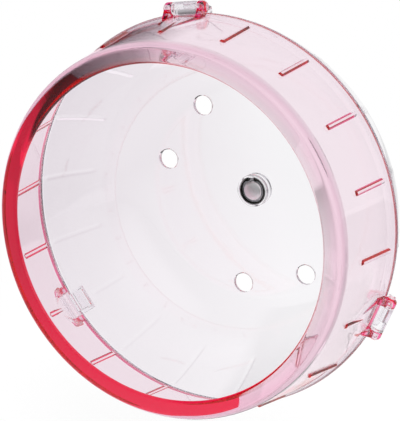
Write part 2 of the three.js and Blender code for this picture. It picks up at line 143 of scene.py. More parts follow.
def prism(outline, half_width, middle, turn, bevel=0.0):
    """A slab across the tangent at a turn, from (depth, radius) points."""
    form = bmesh.new()
    near = across_turn(form, outline, middle - half_width, turn)
    far = across_turn(form, outline, middle + half_width, turn)
    close_slab(form, near, far, bevel)
    return form


def close_rings(form, rings):
    """Faces from ring to ring and over both ends."""
    form.faces.new(rings[0])
    form.faces.new(list(reversed(rings[-1])))
    for near, far in zip(rings, rings[1:]):
        for i in range(len(near)):
            form.faces.new((near[i - 1], near[i], far[i], far[i - 1]))
    bmesh.ops.recalc_face_normals(form, faces=form.faces)


def new_piece(name, form):
    """An object from a mesh under construction, in the frame's own place."""
    mesh = bpy.data.meshes.new(name)
    form.to_mesh(mesh)
    form.free()
    piece = bpy.data.objects.new(name, mesh)
    bpy.context.scene.collection.objects.link(piece)
    return piece


def combine(piece, tool_form, operation):
    """Joins a form to a piece, or cuts it out of the piece."""
    tool = new_piece("tool", tool_form)
    change = piece.modifiers.new("combine", "BOOLEAN")
    change.operation = operation
    change.solver = "MANIFOLD"
    change.object = tool
    made = piece.evaluated_get(bpy.context.evaluated_depsgraph_get())
    old = piece.data
    piece.data = bpy.data.meshes.new_from_object(made)
    piece.data.materials.clear()
    piece.modifiers.clear()
    bpy.data.meshes.remove(old)
    bpy.data.objects.remove(tool)


def polish(piece, sharp=32):
    """Smooth shading, broken only at edges that turn by more than a given angle."""
    piece.data.shade_smooth()
    piece.data.set_sharp_from_angle(angle=math.radians(sharp))
    flats = piece.modifiers.new("keep_flats_flat", "WEIGHTED_NORMAL")
    flats.keep_sharp = True


def rib_rise(turn, top_half, foot_half):
    """How high a rib stands at a turn: 0 at its foot, up its sloped side, to 1 on its flat crest."""
    away = abs((turn + RIB_PITCH / 2) % RIB_PITCH - RIB_PITCH / 2)
    across = math.radians(away) * SEAM_RADIUS
    return min(max((foot_half - across) / (foot_half - top_half), 0.0), 1.0)


def ease(value, start, length):
    """A quarter round from 0 at the start to 1 after the length."""
    share = min(max((value - start) / length, 0.0), 1.0)
    return math.sqrt(1 - (1 - share) ** 2)


def smooth(share):
    """An S-shaped rise from 0 to 1."""
    share = min(max(share, 0.0), 1.0)
    return share * share * (3 - 2 * share)


STEPS_BETWEEN_RIBS, STEPS_BESIDE_LATCH, STEPS_UP_RIB = 12, 36, 4


def shell_turns(top_half, foot_half):
    """Turns round a shell, close together across each rib and beside each latch."""
    turns = []
    # On the rib's crest, up its side, and a little past its foot.
    places = [0, 0.6 * top_half, *spread(top_half, foot_half, STEPS_UP_RIB), 1.3 * foot_half]
    rises = [math.degrees(across / SEAM_RADIUS) for across in places]
    for k in range(RIB_COUNT):
        middle = k * RIB_PITCH
        beside_latch = any(turn in (middle, (middle + RIB_PITCH) % 360) for turn in LATCH_TURNS)
        steps = STEPS_BESIDE_LATCH if beside_latch else STEPS_BETWEEN_RIBS
        turns += [middle - t for t in reversed(rises[1:])] + [middle + t for t in rises]
        turns += spread(middle + rises[-1], middle + RIB_PITCH - rises[-1], steps)[1:-1]
    return turns


BOWL_WALL = 2.0
BOWL_START_RADIUS = 88.4
BOWL_START_DEPTH = 41.8
BOWL_SIDE_RADIUS = 105.0
BOWL_SIDE_LEAN = (14, 34)
BOWL_BACK_DEPTH = 88.9
BOWL_EDGE_ROUND = 0.8
BOWL_SIDE_STEPS, BOWL_CORNER_STEPS = 34, 14
BOWL_RIB = (45.0, 71.0)
BOWL_RIB_TOP, BOWL_RIB_FOOT, BOWL_RIB_HEIGHT, BOWL_RIB_END = 0.2, 1.6, 0.16, 1.1
BOWL_RIB_BEHIND_LATCH, BEHIND_LATCH_REACH = 54.0, 5
HUB_JOIN_RADIUS = 6.85

lean_from, lean_to = (math.radians(a) for a in BOWL_SIDE_LEAN)
edge_inner = BOWL_START_RADIUS - BOWL_WALL / math.cos(lean_from)
side_middle = Vector((
    BOWL_START_RADIUS - BOWL_SIDE_RADIUS * math.cos(lean_from),
    BOWL_START_DEPTH - BOWL_SIDE_RADIUS * math.sin(lean_from),
))
side_end = side_middle + BOWL_SIDE_RADIUS * Vector((math.cos(lean_to), math.sin(lean_to)))
corner_bend = (BOWL_BACK_DEPTH - side_end.y) / (1 - math.sin(lean_to))
corner_middle = Vector((side_end.x - corner_bend * math.cos(lean_to), BOWL_BACK_DEPTH - corner_bend))


def bowl_profile(turn):
    """The bowl's closed outline at a turn, with the rib's crest where one stands."""
    behind_latch = any(abs(turn - t) < BEHIND_LATCH_REACH for t in (*LATCH_TURNS, 360))
    rib_front = BOWL_RIB_BEHIND_LATCH if behind_latch else BOWL_RIB[0]
    crest = BOWL_RIB_HEIGHT * smooth(rib_rise(turn, BOWL_RIB_TOP, BOWL_RIB_FOOT))

    def side(lean, inside):
        out = Vector((math.cos(lean), math.sin(lean)))
        point = side_middle + out * (BOWL_SIDE_RADIUS - inside)
        if inside == 0:
            rib = ease(point.y, rib_front, BOWL_RIB_END) * ease(-point.y, -BOWL_RIB[1], BOWL_RIB_END)
            point = point + out * crest * rib
        return (point.x, point.y, 0)

    def corner(lean, inside):
        point = corner_middle + (corner_bend - inside) * Vector((math.cos(lean), math.sin(lean)))
        return (point.x, point.y, 0)

    side_leans = spread(lean_from, lean_to, BOWL_SIDE_STEPS)
    corner_leans = spread(lean_to, math.pi / 2, BOWL_CORNER_STEPS)
    return rounded([
        (edge_inner, BOWL_START_DEPTH, BOWL_EDGE_ROUND),
        (BOWL_START_RADIUS, BOWL_START_DEPTH, BOWL_EDGE_ROUND),
        *[side(a, 0) for a in side_leans[1:]],
        *[corner(a, 0) for a in corner_leans[1:]],
        (HUB_JOIN_RADIUS, BOWL_BACK_DEPTH, 0),
        (HUB_JOIN_RADIUS, BOWL_BACK_DEPTH - BOWL_WALL, 0),
        *[corner(a, BOWL_WALL) for a in reversed(corner_leans[1:])],
        *[side(a, BOWL_WALL) for a in reversed(side_leans[2::2])],
    ])


rear_bowl = new_piece("rear_bowl_shell", lathe(bowl_profile, shell_turns(BOWL_RIB_TOP, BOWL_RIB_FOOT)))

HUB_TURNS = spread(0, 360, 96)[:-1]
HUB_OUTER, HUB_BORE, HUB_GROOVE, HUB_SHOULDER_BORE = 7.5, 6.2, 6.75, 4.9
HUB_FRONT, HUB_BACK, HUB_SHOULDER = 84.7, 91.4, 90.3
HUB_GROOVE_FRONT, HUB_GROOVE_BACK = 85.1, 85.9
HUB_ROUND, HUB_MOUTH_ROUND, HUB_BACK_ROUND = 0.35, 0.12, 0.2
HUB_SHOULDER_ROUND, HUB_GROOVE_ROUND = 0.1, 0.05


def ring_form(corners):
    """A turned ring from the corners of its outline."""
    outline = rounded(corners)
    return lathe(lambda turn: outline, HUB_TURNS)


boss = ring_form([
    (HUB_BORE, HUB_FRONT, HUB_MOUTH_ROUND),
    (HUB_OUTER, HUB_FRONT, HUB_ROUND),
    (HUB_OUTER, HUB_BACK, HUB_ROUND),
    (HUB_SHOULDER_BORE, HUB_BACK, HUB_BACK_ROUND),
    (HUB_SHOULDER_BORE, HUB_SHOULDER, HUB_SHOULDER_ROUND),
    (HUB_BORE, HUB_SHOULDER, HUB_SHOULDER_ROUND),
    (HUB_BORE, HUB_GROOVE_BACK, HUB_GROOVE_ROUND),
    (HUB_GROOVE, HUB_GROOVE_BACK, HUB_GROOVE_ROUND),
    (HUB_GROOVE, HUB_GROOVE_FRONT, HUB_GROOVE_ROUND),
    (HUB_BORE, HUB_GROOVE_FRONT, HUB_GROOVE_ROUND),
])
combine(rear_bowl, boss, "UNION")

PIVOT_RADIUS, PIVOT_DEPTH = 90.5, 40.2
KNUCKLE_OUTER = 2.9
LATCH_HALF, LATCH_SIDE_GAP, LUG_WIDTH = 6.0, 0.3, 4.0
BARREL_ROOM, LUG_ROOM = 0.4, 0.5
GAP_HALF = LATCH_HALF + LATCH_SIDE_GAP
CATCH_FRONT, CATCH_BACK, CATCH_TOP, CATCH_FOOT, CATCH_HALF = 6.8, 9.9, -3.0, 85.3, 5.0
CATCH_LEAD = 1.2
SMALL_EDGE = 0.3

TONGUE_HALF = 4.5
TONGUE = [
    (38.4, 84.5), (44.0, 84.5), (48.5, 84.7), (46.5, 85.6), (42.3, 86.9), (42.0, 85.8), (38.4, 85.8),
]


def round_about(radius, angles):
    """Points round the pivot as (depth, radius), with 0 degrees towards the back and 90 outwards."""
    return [
        (
            PIVOT_DEPTH + radius * math.cos(math.radians(a)),
            PIVOT_RADIUS + radius * math.sin(math.radians(a)),
        )
        for a in angles
    ]


full_circle = spread(0, 360, 48)[:-1]
barrel_groove = round_about(KNUCKLE_OUTER + BARREL_ROOM, full_circle)
for turn in LATCH_TURNS:
    combine(rear_bowl, prism(TONGUE, TONGUE_HALF, 0, turn, bevel=SMALL_EDGE), "UNION")
    notch = prism(barrel_groove, GAP_HALF + LUG_WIDTH + LUG_ROOM, 0, turn)
    combine(rear_bowl, notch, "DIFFERENCE")
    catch = [
        (PIVOT_DEPTH + CATCH_FRONT, CATCH_FOOT),
        (PIVOT_DEPTH + CATCH_BACK, CATCH_FOOT),
        (PIVOT_DEPTH + CATCH_BACK, PIVOT_RADIUS + CATCH_TOP),
        (PIVOT_DEPTH + CATCH_FRONT + CATCH_LEAD, PIVOT_RADIUS + CATCH_TOP),
        (PIVOT_DEPTH + CATCH_FRONT, PIVOT_RADIUS + CATCH_TOP - CATCH_LEAD),
    ]
    combine(rear_bowl, prism(catch, CATCH_HALF, 0, turn, bevel=SMALL_EDGE), "UNION")

VENT_CIRCLE, VENT_RADIUS, VENT_EDGE = 45.7, 4.6, 0.25
VENT_TURNS = (-77.5, -35.5, 144.5, 186.5)
VENT_REACH, VENT_STEPS = 0.5, 64


def vent_cutter(turn):
    """A drill whose rims ease the edges of the hole it leaves."""
    front, back = BOWL_BACK_DEPTH - BOWL_WALL, BOWL_BACK_DEPTH
    steps = [
        (VENT_RADIUS + VENT_EDGE + VENT_REACH, front - VENT_REACH),
        (VENT_RADIUS, front + VENT_EDGE),
        (VENT_RADIUS, back - VENT_EDGE),
        (VENT_RADIUS + VENT_EDGE + VENT_REACH, back + VENT_REACH),
    ]
    middle = at(VENT_CIRCLE, 0, turn - REST_TURN)
    form = bmesh.new()
    rings = []
    for radius, depth in steps:
        y = (depth - AXLE_END_DEPTH) * MM
        rings.append([
            form.verts.new((
                middle.x + radius * MM * math.sin(math.radians(a)),
                y,
                middle.z + radius * MM * math.cos(math.radians(a)),
            ))
            for a in spread(0, 360, VENT_STEPS)[:-1]
        ])
    close_rings(form, rings)
    return form


for turn in VENT_TURNS:
    combine(rear_bowl, vent_cutter(turn), "DIFFERENCE")
polish(rear_bowl)


def linear(hex_colour):
    """An sRGB hex colour as linear red, green and blue."""
    parts = [int(hex_colour[i:i + 2], 16) / 255 for i in (1, 3, 5)]
    return [p / 12.92 if p <= 0.04045 else ((p + 0.055) / 1.055) ** 2.4 for p in parts]


def new_material(name):
    """A material with no nodes yet."""
    material = bpy.data.materials.new(name)
    material.use_nodes = True
    material.node_tree.nodes.clear()
    return material


def add_node(tree, kind, settings=None, links=None):
    """A node with its settings, inputs by name or number, and the sockets that feed it."""
    node = tree.nodes.new(kind)
    for key, value in (settings or {}).items():
        if isinstance(key, int) or key in node.inputs:
            node.inputs[key].default_value = value
        else:
            setattr(node, key, value)
    for key, source in (links or {}).items():
        tree.links.new(source, node.inputs[key])
    return node


POLYSTYRENE_IOR = 1.59
WAVE_LENGTH, WAVE_HEIGHT, SCUFF_LENGTH = 14, 0.4, 2.5
SHUT_IN_FRESNEL = 0.97
LIP_GLOW_BACK, EDGE_GLOW_FRONT, EDGE_GLOW_TOP = 9.0, 40.3, SEAM_RADIUS + 0.1


def clear_plastic(name, skin, depth_colour, density, roughness, lip_glow, rib_glow, edge_glow):
    """Moulded transparent polystyrene: polished by the mould, with the faint waviness of a cooled
    moulding and light scuffs. Thick plastic takes its depth colour, and thin walls stay pale. Light that
    is shut in comes out coloured: deepest in the solid lip, pinker in the ribs and lugs, and palest in
    the thin edge at the seam."""
    material = new_material(name)
    tree = material.node_tree
    place = add_node(tree, "ShaderNodeTexCoord")
    wave = add_node(
        tree, "ShaderNodeTexNoise", {"Scale": 1000 / WAVE_LENGTH, "Detail": 1.0},
        {"Vector": place.outputs["Object"]},
    )
    scuff = add_node(
        tree, "ShaderNodeTexNoise", {"Scale": 1000 / SCUFF_LENGTH, "Detail": 4.0, "Roughness": 0.6},
        {"Vector": place.outputs["Object"]},
    )
    haze = add_node(
        tree, "ShaderNodeMapRange",
        {"From Min": 0.35, "From Max": 0.8, "To Min": roughness * 0.5, "To Max": roughness * 1.6},
        {"Value": scuff.outputs["Fac"]},
    )
    bump = add_node(
        tree, "ShaderNodeBump", {"Strength": 0.12, "Distance": WAVE_HEIGHT * MM},
        {"Height": wave.outputs["Fac"]},
    )
    surface = add_node(
        tree, "ShaderNodeBsdfPrincipled",
        {"Base Color": (*linear(skin), 1), "IOR": POLYSTYRENE_IOR, "Transmission Weight": 1.0},
        {"Roughness": haze.outputs["Result"], "Normal": bump.outputs["Normal"]},
    )
    fresnel = add_node(
        tree, "ShaderNodeFresnel", {"IOR": POLYSTYRENE_IOR}, {"Normal": bump.outputs["Normal"]},
    )
    shut_in = add_node(
        tree, "ShaderNodeMath", {"operation": "GREATER_THAN", 1: SHUT_IN_FRESNEL},
        {0: fresnel.outputs["Fac"]},
    )
    spot = add_node(tree, "ShaderNodeSeparateXYZ", None, {0: place.outputs["Object"]})
    flat = add_node(
        tree, "ShaderNodeVectorMath", {"operation": "MULTIPLY", 1: (1, 0, 1)},
        {0: place.outputs["Object"]},
    )
    out = add_node(tree, "ShaderNodeVectorMath", {"operation": "LENGTH"}, {0: flat.outputs["Vector"]})
    past_lip = add_node(
        tree, "ShaderNodeMath",
        {"operation": "GREATER_THAN", 1: (LIP_GLOW_BACK - AXLE_END_DEPTH) * MM},
        {0: spot.outputs["Y"]},
    )
    near_seam = add_node(
        tree, "ShaderNodeMath",
        {"operation": "GREATER_THAN", 1: (EDGE_GLOW_FRONT - AXLE_END_DEPTH) * MM},
        {0: spot.outputs["Y"]},
    )
    below_lugs = add_node(
        tree, "ShaderNodeMath", {"operation": "LESS_THAN", 1: EDGE_GLOW_TOP * MM},
        {0: out.outputs["Value"]},
    )
    on_edge = add_node(
        tree, "ShaderNodeMath", {"operation": "MULTIPLY"},
        {0: near_seam.outputs[0], 1: below_lugs.outputs[0]},
    )
    walls = add_node(
        tree, "ShaderNodeMix",
        {"data_type": "RGBA", 6: (*linear(lip_glow), 1), 7: (*linear(rib_glow), 1)},
        {0: past_lip.outputs[0]},
    )
    glow = add_node(
        tree, "ShaderNodeMix", {"data_type": "RGBA", 7: (*linear(edge_glow), 1)},
        {0: on_edge.outputs[0], 6: walls.outputs[2]},
    )
    held = add_node(
        tree, "ShaderNodeBsdfGlass", {"IOR": POLYSTYRENE_IOR, "Roughness": 0.0},
        {"Color": glow.outputs[2], "Normal": bump.outputs["Normal"]},
    )
    whole = add_node(
        tree, "ShaderNodeMixShader", None,
        {0: shut_in.outputs[0], 1: surface.outputs["BSDF"], 2: held.outputs["BSDF"]},
    )
    inside = add_node(
        tree, "ShaderNodeVolumeAbsorption", {"Color": (*linear(depth_colour), 1), "Density": density},
    )
    add_node(
        tree, "ShaderNodeOutputMaterial", None,
        {"Surface": whole.outputs["Shader"], "Volume": inside.outputs["Volume"]},
    )
    return material


# Crystal polystyrene is water-clear and glossy, with a faint violet cast where it is thick.
MOULD_POLISH = 0.03
crystal_polystyrene = clear_plastic(
    "crystal_polystyrene", skin="#FCFBFD", depth_colour="#D6D0E0", density=3.0, roughness=MOULD_POLISH,
    lip_glow="#FFFFFF", rib_glow="#FFFFFF", edge_glow="#FFFFFF",
)
rear_bowl.data.materials.append(crystal_polystyrene)
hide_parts("rear_bowl")
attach(rear_bowl, "wheel")


# Bearing
# A small shielded ball bearing in the boss: two ground steel races, eight polished balls in a moulded
# nylon cage and a pressed steel shield on each side. A blackened snap ring in the boss's groove keeps it
# from coming out.
BEARING_FRONT, BEARING_BACK, BEARING_OUTER, BEARING_BORE = 86.1, 90.1, 6.0, 3.1
BALL_COUNT, BALL_RADIUS, BALL_CIRCLE, BALL_DEPTH = 8, 0.7, 4.5, 88.1
OUTER_LAND, INNER_LAND, TRACK_RADIUS = 5.1, 3.9, 0.8
CAGE_HALF, CAGE_LENGTH, CAGE_POCKET = 0.3, 1.2, 0.85
SHIELD_INNER, SHIELD_OUTER, SHIELD_THICKNESS, SHIELD_INSET = 4.05, 4.95, 0.25, 0.15
RACE_ROUND, BORE_ROUND, LAND_ROUND, SHIELD_ROUND, CAGE_ROUND = 0.25, 0.2, 0.1, 0.06, 0.08
BEARING_RING_INNER, BEARING_RING_OUTER, BEARING_RING_FRONT = 5.5, 6.6, 85.25
BEARING_RING_GAP, EAR_INNER, EAR_TURN, EAR_SLOPE = 12, 4.95, 18, 2
SNAP_RING_THICKNESS, STAMPED_EDGE = 0.5, 0.08
MARK_HEIGHT, NYLON_CLOUD, NYLON_IOR = 0.02, 1.2, 1.53


def turned_steel(name, colour, roughness, mark):
    """Bright steel, turned or ground, with fine marks round the axle that spread its highlights along a
    line. The marks are drawn a little coarser than real ones so that they show."""
    material = new_material(name)
    tree = material.node_tree
    place = add_node(tree, "ShaderNodeTexCoord")
    flat = add_node(
        tree, "ShaderNodeVectorMath", {"operation": "MULTIPLY", 1: (1, 0, 1)},
        {0: place.outputs["Object"]},
    )
    radius = add_node(tree, "ShaderNodeVectorMath", {"operation": "LENGTH"}, {0: flat.outputs["Vector"]})
    marks = add_node(
        tree, "ShaderNodeTexNoise", {"noise_dimensions": "1D", "Scale": 1000 / mark, "Detail": 3.0},
        {"W": radius.outputs["Value"]},
    )
    finish = add_node(
        tree, "ShaderNodeMapRange",
        {"From Min": 0.3, "From Max": 0.7, "To Min": roughness * 0.6, "To Max": roughness * 1.4},
        {"Value": marks.outputs["Fac"]},
    )
    bump = add_node(
        tree, "ShaderNodeBump", {"Strength": 0.15, "Distance": MARK_HEIGHT * MM},
        {"Height": marks.outputs["Fac"]},
    )
    surface = add_node(
        tree, "ShaderNodeBsdfPrincipled", {"Base Color": (*linear(colour), 1), "Metallic": 1.0},
        {"Roughness": finish.outputs["Result"], "Normal": bump.outputs["Normal"]},
    )
    add_node(tree, "ShaderNodeOutputMaterial", None, {"Surface": surface.outputs["BSDF"]})
    return material


def natural_nylon(name, colour, darker):
    """Undyed moulded nylon: cream, slightly uneven in colour, with a dull sheen."""
    material = new_material(name)
    tree = material.node_tree
    place = add_node(tree, "ShaderNodeTexCoord")
    cloud = add_node(
        tree, "ShaderNodeTexNoise", {"Scale": 1000 / NYLON_CLOUD, "Detail": 3.0},
        {"Vector": place.outputs["Object"]},
    )
    tint = add_node(
        tree, "ShaderNodeMix",
        {"data_type": "RGBA", 6: (*linear(colour), 1), 7: (*linear(darker), 1)},
        {0: cloud.outputs["Fac"]},
    )
    surface = add_node(
        tree, "ShaderNodeBsdfPrincipled", {"IOR": NYLON_IOR, "Roughness": 0.5},
        {"Base Color": tint.outputs[2]},
    )
    add_node(tree, "ShaderNodeOutputMaterial", None, {"Surface": surface.outputs["BSDF"]})
    return material


def finished(piece, material, node, body):
    """Polishes a piece, gives it its material and puts it in the place of its node."""
    polish(piece)
    piece.data.materials.append(material)
    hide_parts(node)
    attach(piece, body)


def ball_form(radius, turn):
    """A ball in its place between the races."""
    form = bmesh.new()
    middle = Matrix.Translation(at(BALL_CIRCLE, BALL_DEPTH, turn))
    bmesh.ops.create_icosphere(form, subdivisions=4, radius=radius * MM, matrix=middle)
    return form


def plate_form(outline, front, thickness, bevel):
    """A flat plate square to the axle, from (radius, turn) points, with its edges eased."""
    form = bmesh.new()
    near = [form.verts.new(at(r, front, turn)) for r, turn in outline]
    far = [form.verts.new(at(r, front + thickness, turn)) for r, turn in outline]
    close_slab(form, near, far, bevel)
    return form


track_half = math.acos((OUTER_LAND - BALL_CIRCLE) / TRACK_RADIUS)
track = [
    (TRACK_RADIUS * math.cos(a), BALL_DEPTH + TRACK_RADIUS * math.sin(a))
    for a in spread(-track_half, track_half, 10)
]

# The races and shields have a satin shine, the balls are near mirrors, and the oiled black of the snap
# rings has only a soft sheen.
ground_steel = turned_steel("ground_bearing_steel", "#D4D6DA", roughness=0.22, mark=0.12)
polished_steel = turned_steel("polished_ball_steel", "#E6E7E9", roughness=0.06, mark=0.2)
black_steel = turned_steel("blackened_spring_steel", "#2E2F2C", roughness=0.35, mark=0.2)

outer_race = new_piece("outer_race_ground", ring_form([
    (OUTER_LAND, BEARING_FRONT, LAND_ROUND),
    (BEARING_OUTER, BEARING_FRONT, RACE_ROUND),
    (BEARING_OUTER, BEARING_BACK, RACE_ROUND),
    (OUTER_LAND, BEARING_BACK, LAND_ROUND),
    *[(BALL_CIRCLE + out, d, 0) for out, d in reversed(track)],
]))
finished(outer_race, ground_steel, "bearing_outer_race", "wheel")

inner_race = new_piece("inner_race_ground", ring_form([
    (BEARING_BORE, BEARING_FRONT, BORE_ROUND),
    (INNER_LAND, BEARING_FRONT, LAND_ROUND),
    *[(BALL_CIRCLE - out, d, 0) for out, d in track],
    (INNER_LAND, BEARING_BACK, LAND_ROUND),
    (BEARING_BORE, BEARING_BACK, BORE_ROUND),
]))
finished(inner_race, ground_steel, "bearing_inner_race", "axle")

shield_fronts = {
    "front": BEARING_FRONT + SHIELD_INSET,
    "rear": BEARING_BACK - SHIELD_INSET - SHIELD_THICKNESS,
}
for side, front in shield_fronts.items():
    shield = new_piece(f"shield_{side}_pressed", ring_form([
        (SHIELD_INNER, front, SHIELD_ROUND),
        (SHIELD_OUTER, front, SHIELD_ROUND),
        (SHIELD_OUTER, front + SHIELD_THICKNESS, SHIELD_ROUND),
        (SHIELD_INNER, front + SHIELD_THICKNESS, SHIELD_ROUND),
    ]))
    finished(shield, ground_steel, f"bearing_shield_{side}", "wheel")

cage = new_piece("cage_moulded", ring_form([
    (BALL_CIRCLE - CAGE_HALF, BALL_DEPTH, CAGE_ROUND),
    (BALL_CIRCLE + CAGE_HALF, BALL_DEPTH, CAGE_ROUND),
    (BALL_CIRCLE + CAGE_HALF, BALL_DEPTH + CAGE_LENGTH, CAGE_ROUND),
    (BALL_CIRCLE - CAGE_HALF, BALL_DEPTH + CAGE_LENGTH, CAGE_ROUND),
]))
ball_turns = spread(0, 360, BALL_COUNT)[:-1]
for number, turn in enumerate(ball_turns, 1):
    combine(cage, ball_form(CAGE_POCKET, turn), "DIFFERENCE")
    ball = new_piece(f"ball_{number}_polished", ball_form(BALL_RADIUS, turn))
    finished(ball, polished_steel, f"bearing_ball_{number}", "ball_cage")
cage_nylon = natural_nylon("natural_nylon", "#EBE5D3", darker="#DDD5BE")
finished(cage, cage_nylon, "bearing_cage", "ball_cage")

ear_end = BEARING_RING_GAP + EAR_TURN
snap_ring = new_piece("bearing_snap_ring_stamped", plate_form([
    *[(BEARING_RING_OUTER, t) for t in spread(BEARING_RING_GAP, 360 - BEARING_RING_GAP, 72)],
    *[(EAR_INNER, t) for t in spread(360 - BEARING_RING_GAP, 360 - ear_end + EAR_SLOPE, 6)],
    *[(BEARING_RING_INNER, t) for t in spread(360 - ear_end - EAR_SLOPE, ear_end + EAR_SLOPE, 60)],
    *[(EAR_INNER, t) for t in spread(ear_end - EAR_SLOPE, BEARING_RING_GAP, 6)],
], BEARING_RING_FRONT, SNAP_RING_THICKNESS, STAMPED_EDGE))
finished(snap_ring, black_steel, "bearing_snap_ring", "wheel")


# Axle
# A polished steel pin with a low domed head, pushed through the bearing from the mouth's side. A snap
# ring in its groove behind the boss holds it there, and its flat end is where a stand would take it.
PIN_SHANK, PIN_HEAD, PIN_HEAD_FRONT, PIN_HEAD_BACK, PIN_HEAD_RIM = 2.9, 4.5, 84.75, 85.95, 0.35
PIN_GROOVE, PIN_GROOVE_FRONT, PIN_GROOVE_BACK, PIN_CHAMFER = 2.3, 90.35, 91.15, 0.3
AXLE_RING_INNER, AXLE_RING_OUTER, AXLE_RING_FRONT, AXLE_RING_GAP = 2.5, 4.1, 90.5, 35


def spindle_form(outline):
    """A solid turned about the axle, from (radius, depth) points between two ends on the axle."""
    form = bmesh.new()
    front = form.verts.new(at(0, outline[0][1], 0))
    back = form.verts.new(at(0, outline[-1][1], 0))
    rings = [[form.verts.new(at(r, d, turn)) for turn in HUB_TURNS] for r, d in outline[1:-1]]
    for i in range(len(HUB_TURNS)):
        form.faces.new((front, rings[0][i - 1], rings[0][i]))
        form.faces.new((back, rings[-1][i], rings[-1][i - 1]))
    for here, following in zip(rings, rings[1:]):
        for i in range(len(here)):
            form.faces.new((here[i - 1], here[i], following[i], following[i - 1]))
    bmesh.ops.recalc_face_normals(form, faces=form.faces)
    return form


dome_rise = PIN_HEAD_BACK - PIN_HEAD_RIM - PIN_HEAD_FRONT
dome = [
    (PIN_HEAD * math.sin(a), PIN_HEAD_FRONT + dome_rise * (1 - math.cos(a)))
    for a in spread(0, math.pi / 2, 18)
]
axle_pin = new_piece("axle_pin_turned", spindle_form([
    *dome,
    (PIN_HEAD, PIN_HEAD_BACK),
    (PIN_SHANK, PIN_HEAD_BACK),
    (PIN_SHANK, PIN_GROOVE_FRONT),
    (PIN_GROOVE, PIN_GROOVE_FRONT),
    (PIN_GROOVE, PIN_GROOVE_BACK),
    (PIN_SHANK, PIN_GROOVE_BACK),
    (PIN_SHANK, AXLE_END_DEPTH - PIN_CHAMFER),
    (PIN_SHANK - PIN_CHAMFER, AXLE_END_DEPTH),
    (0, AXLE_END_DEPTH),
]))
# The pin is bright, but a softer polish than the balls' blurs what it mirrors.
pin_steel = turned_steel("polished_pin_steel", "#F4F4F6", roughness=0.32, mark=0.3)
finished(axle_pin, pin_steel, "axle_pin", "axle")

axle_ring = new_piece("axle_snap_ring_stamped", plate_form([
    *[(AXLE_RING_OUTER, t - REST_TURN) for t in spread(AXLE_RING_GAP, 360 - AXLE_RING_GAP, 60)],
    *[(AXLE_RING_INNER, t - REST_TURN) for t in spread(360 - AXLE_RING_GAP, AXLE_RING_GAP, 60)],
], AXLE_RING_FRONT, SNAP_RING_THICKNESS, STAMPED_EDGE))
finished(axle_ring, black_steel, "axle_snap_ring", "axle")


# Front ring
# The pink front shell: a tapered wall that rolls in to a thick, smooth lip round the mouth, with grip
# ribs. Moulded from tinted polystyrene, with three pads that each rise to a pair of lugs for a latch.
RING_WALL = 1.5
RING_TAPER = math.radians(7.5)
RING_FOOT_RADIUS = 86.53
RING_FOOT_DEPTH, RING_BACK = 37.7, 41.5
RING_EDGE_ROUND = 0.6
FLARE_FRONT = 36.0
LIP_INNER, LIP_FRONT, LIP_RIM, LIP_BEND = 73.0, -1.1, 1.0, 3.0
LIP_LEAN = math.radians(60.5)
LIP_CROWN = 0.03
LIP_FILLET = 1.5
RIB_TOP_HALF, RIB_FOOT_HALF, RING_RIB_HEIGHT = 0.5, 1.35, 0.85
RING_RIB_FRONT, RING_RIB_BACK, RING_RIB_NOSE = 14.8, 38.0, 0.5
PAD_FRONT, PAD_BACK = 17.0, 36.7
PAD_FRONT_HALF, PAD_BACK_HALF, PAD_SLOPE, PAD_HEIGHT = 1.0, 9.6, 4.0, 1.3


def facing(angle):
    """A direction as (radius, depth): 0 points to the front, and a right angle points outwards."""
    return Vector((math.sin(angle), -math.cos(angle)))


def ring_outer(depth):
    """The outer radius of the plain wall at a depth."""
    return RING_FOOT_RADIUS + math.tan(RING_TAPER) * (depth - RING_FOOT_DEPTH)


def ring_inner(depth):
    """The inner radius of the plain wall at a depth."""
    return ring_outer(depth) - RING_WALL / math.cos(RING_TAPER)


def pad_rise(turn, depth):
    """How far a pad stands above the wall. It rises and widens from a rib towards the seam."""
    away = min(abs(turn - t) for t in (*LATCH_TURNS, 360))
    across = math.radians(away) * SEAM_RADIUS
    along = smooth((depth - PAD_FRONT) / (PAD_BACK - PAD_FRONT))
    half = PAD_FRONT_HALF + (PAD_BACK_HALF - PAD_FRONT_HALF) * along
    return PAD_HEIGHT * along * smooth((half - across) / PAD_SLOPE + 0.5)


# The lip is solid: a nearly flat front between a bend outside and a small round rim, and a back that
# leans away from the front until it meets the thin wall.
bend_depth = LIP_FRONT + LIP_BEND
bend_middle = Vector((ring_outer(bend_depth) - LIP_BEND / math.cos(RING_TAPER), bend_depth))
rim_middle = Vector((LIP_INNER + LIP_RIM, LIP_FRONT + LIP_RIM))
lip_rim = [rim_middle + facing(a) * LIP_RIM for a in spread(-math.pi / 2 - LIP_LEAN, 0, 16)]
lip_slope = math.tan(LIP_LEAN)
lip_back_depth = (
    (ring_inner(0) - lip_rim[0].x + lip_slope * lip_rim[0].y) / (lip_slope - math.tan(RING_TAPER))
)
lip_flat = [
    Vector((
        rim_middle.x + (bend_middle.x - rim_middle.x) * (1 + s) / 2,
        LIP_FRONT - LIP_CROWN * (1 - s * s),
    ))
    for s in spread(-1, 1, 8)[1:-1]
]
lip_outer = [bend_middle + facing(a) * LIP_BEND for a in spread(0, math.pi / 2 - RING_TAPER, 16)]


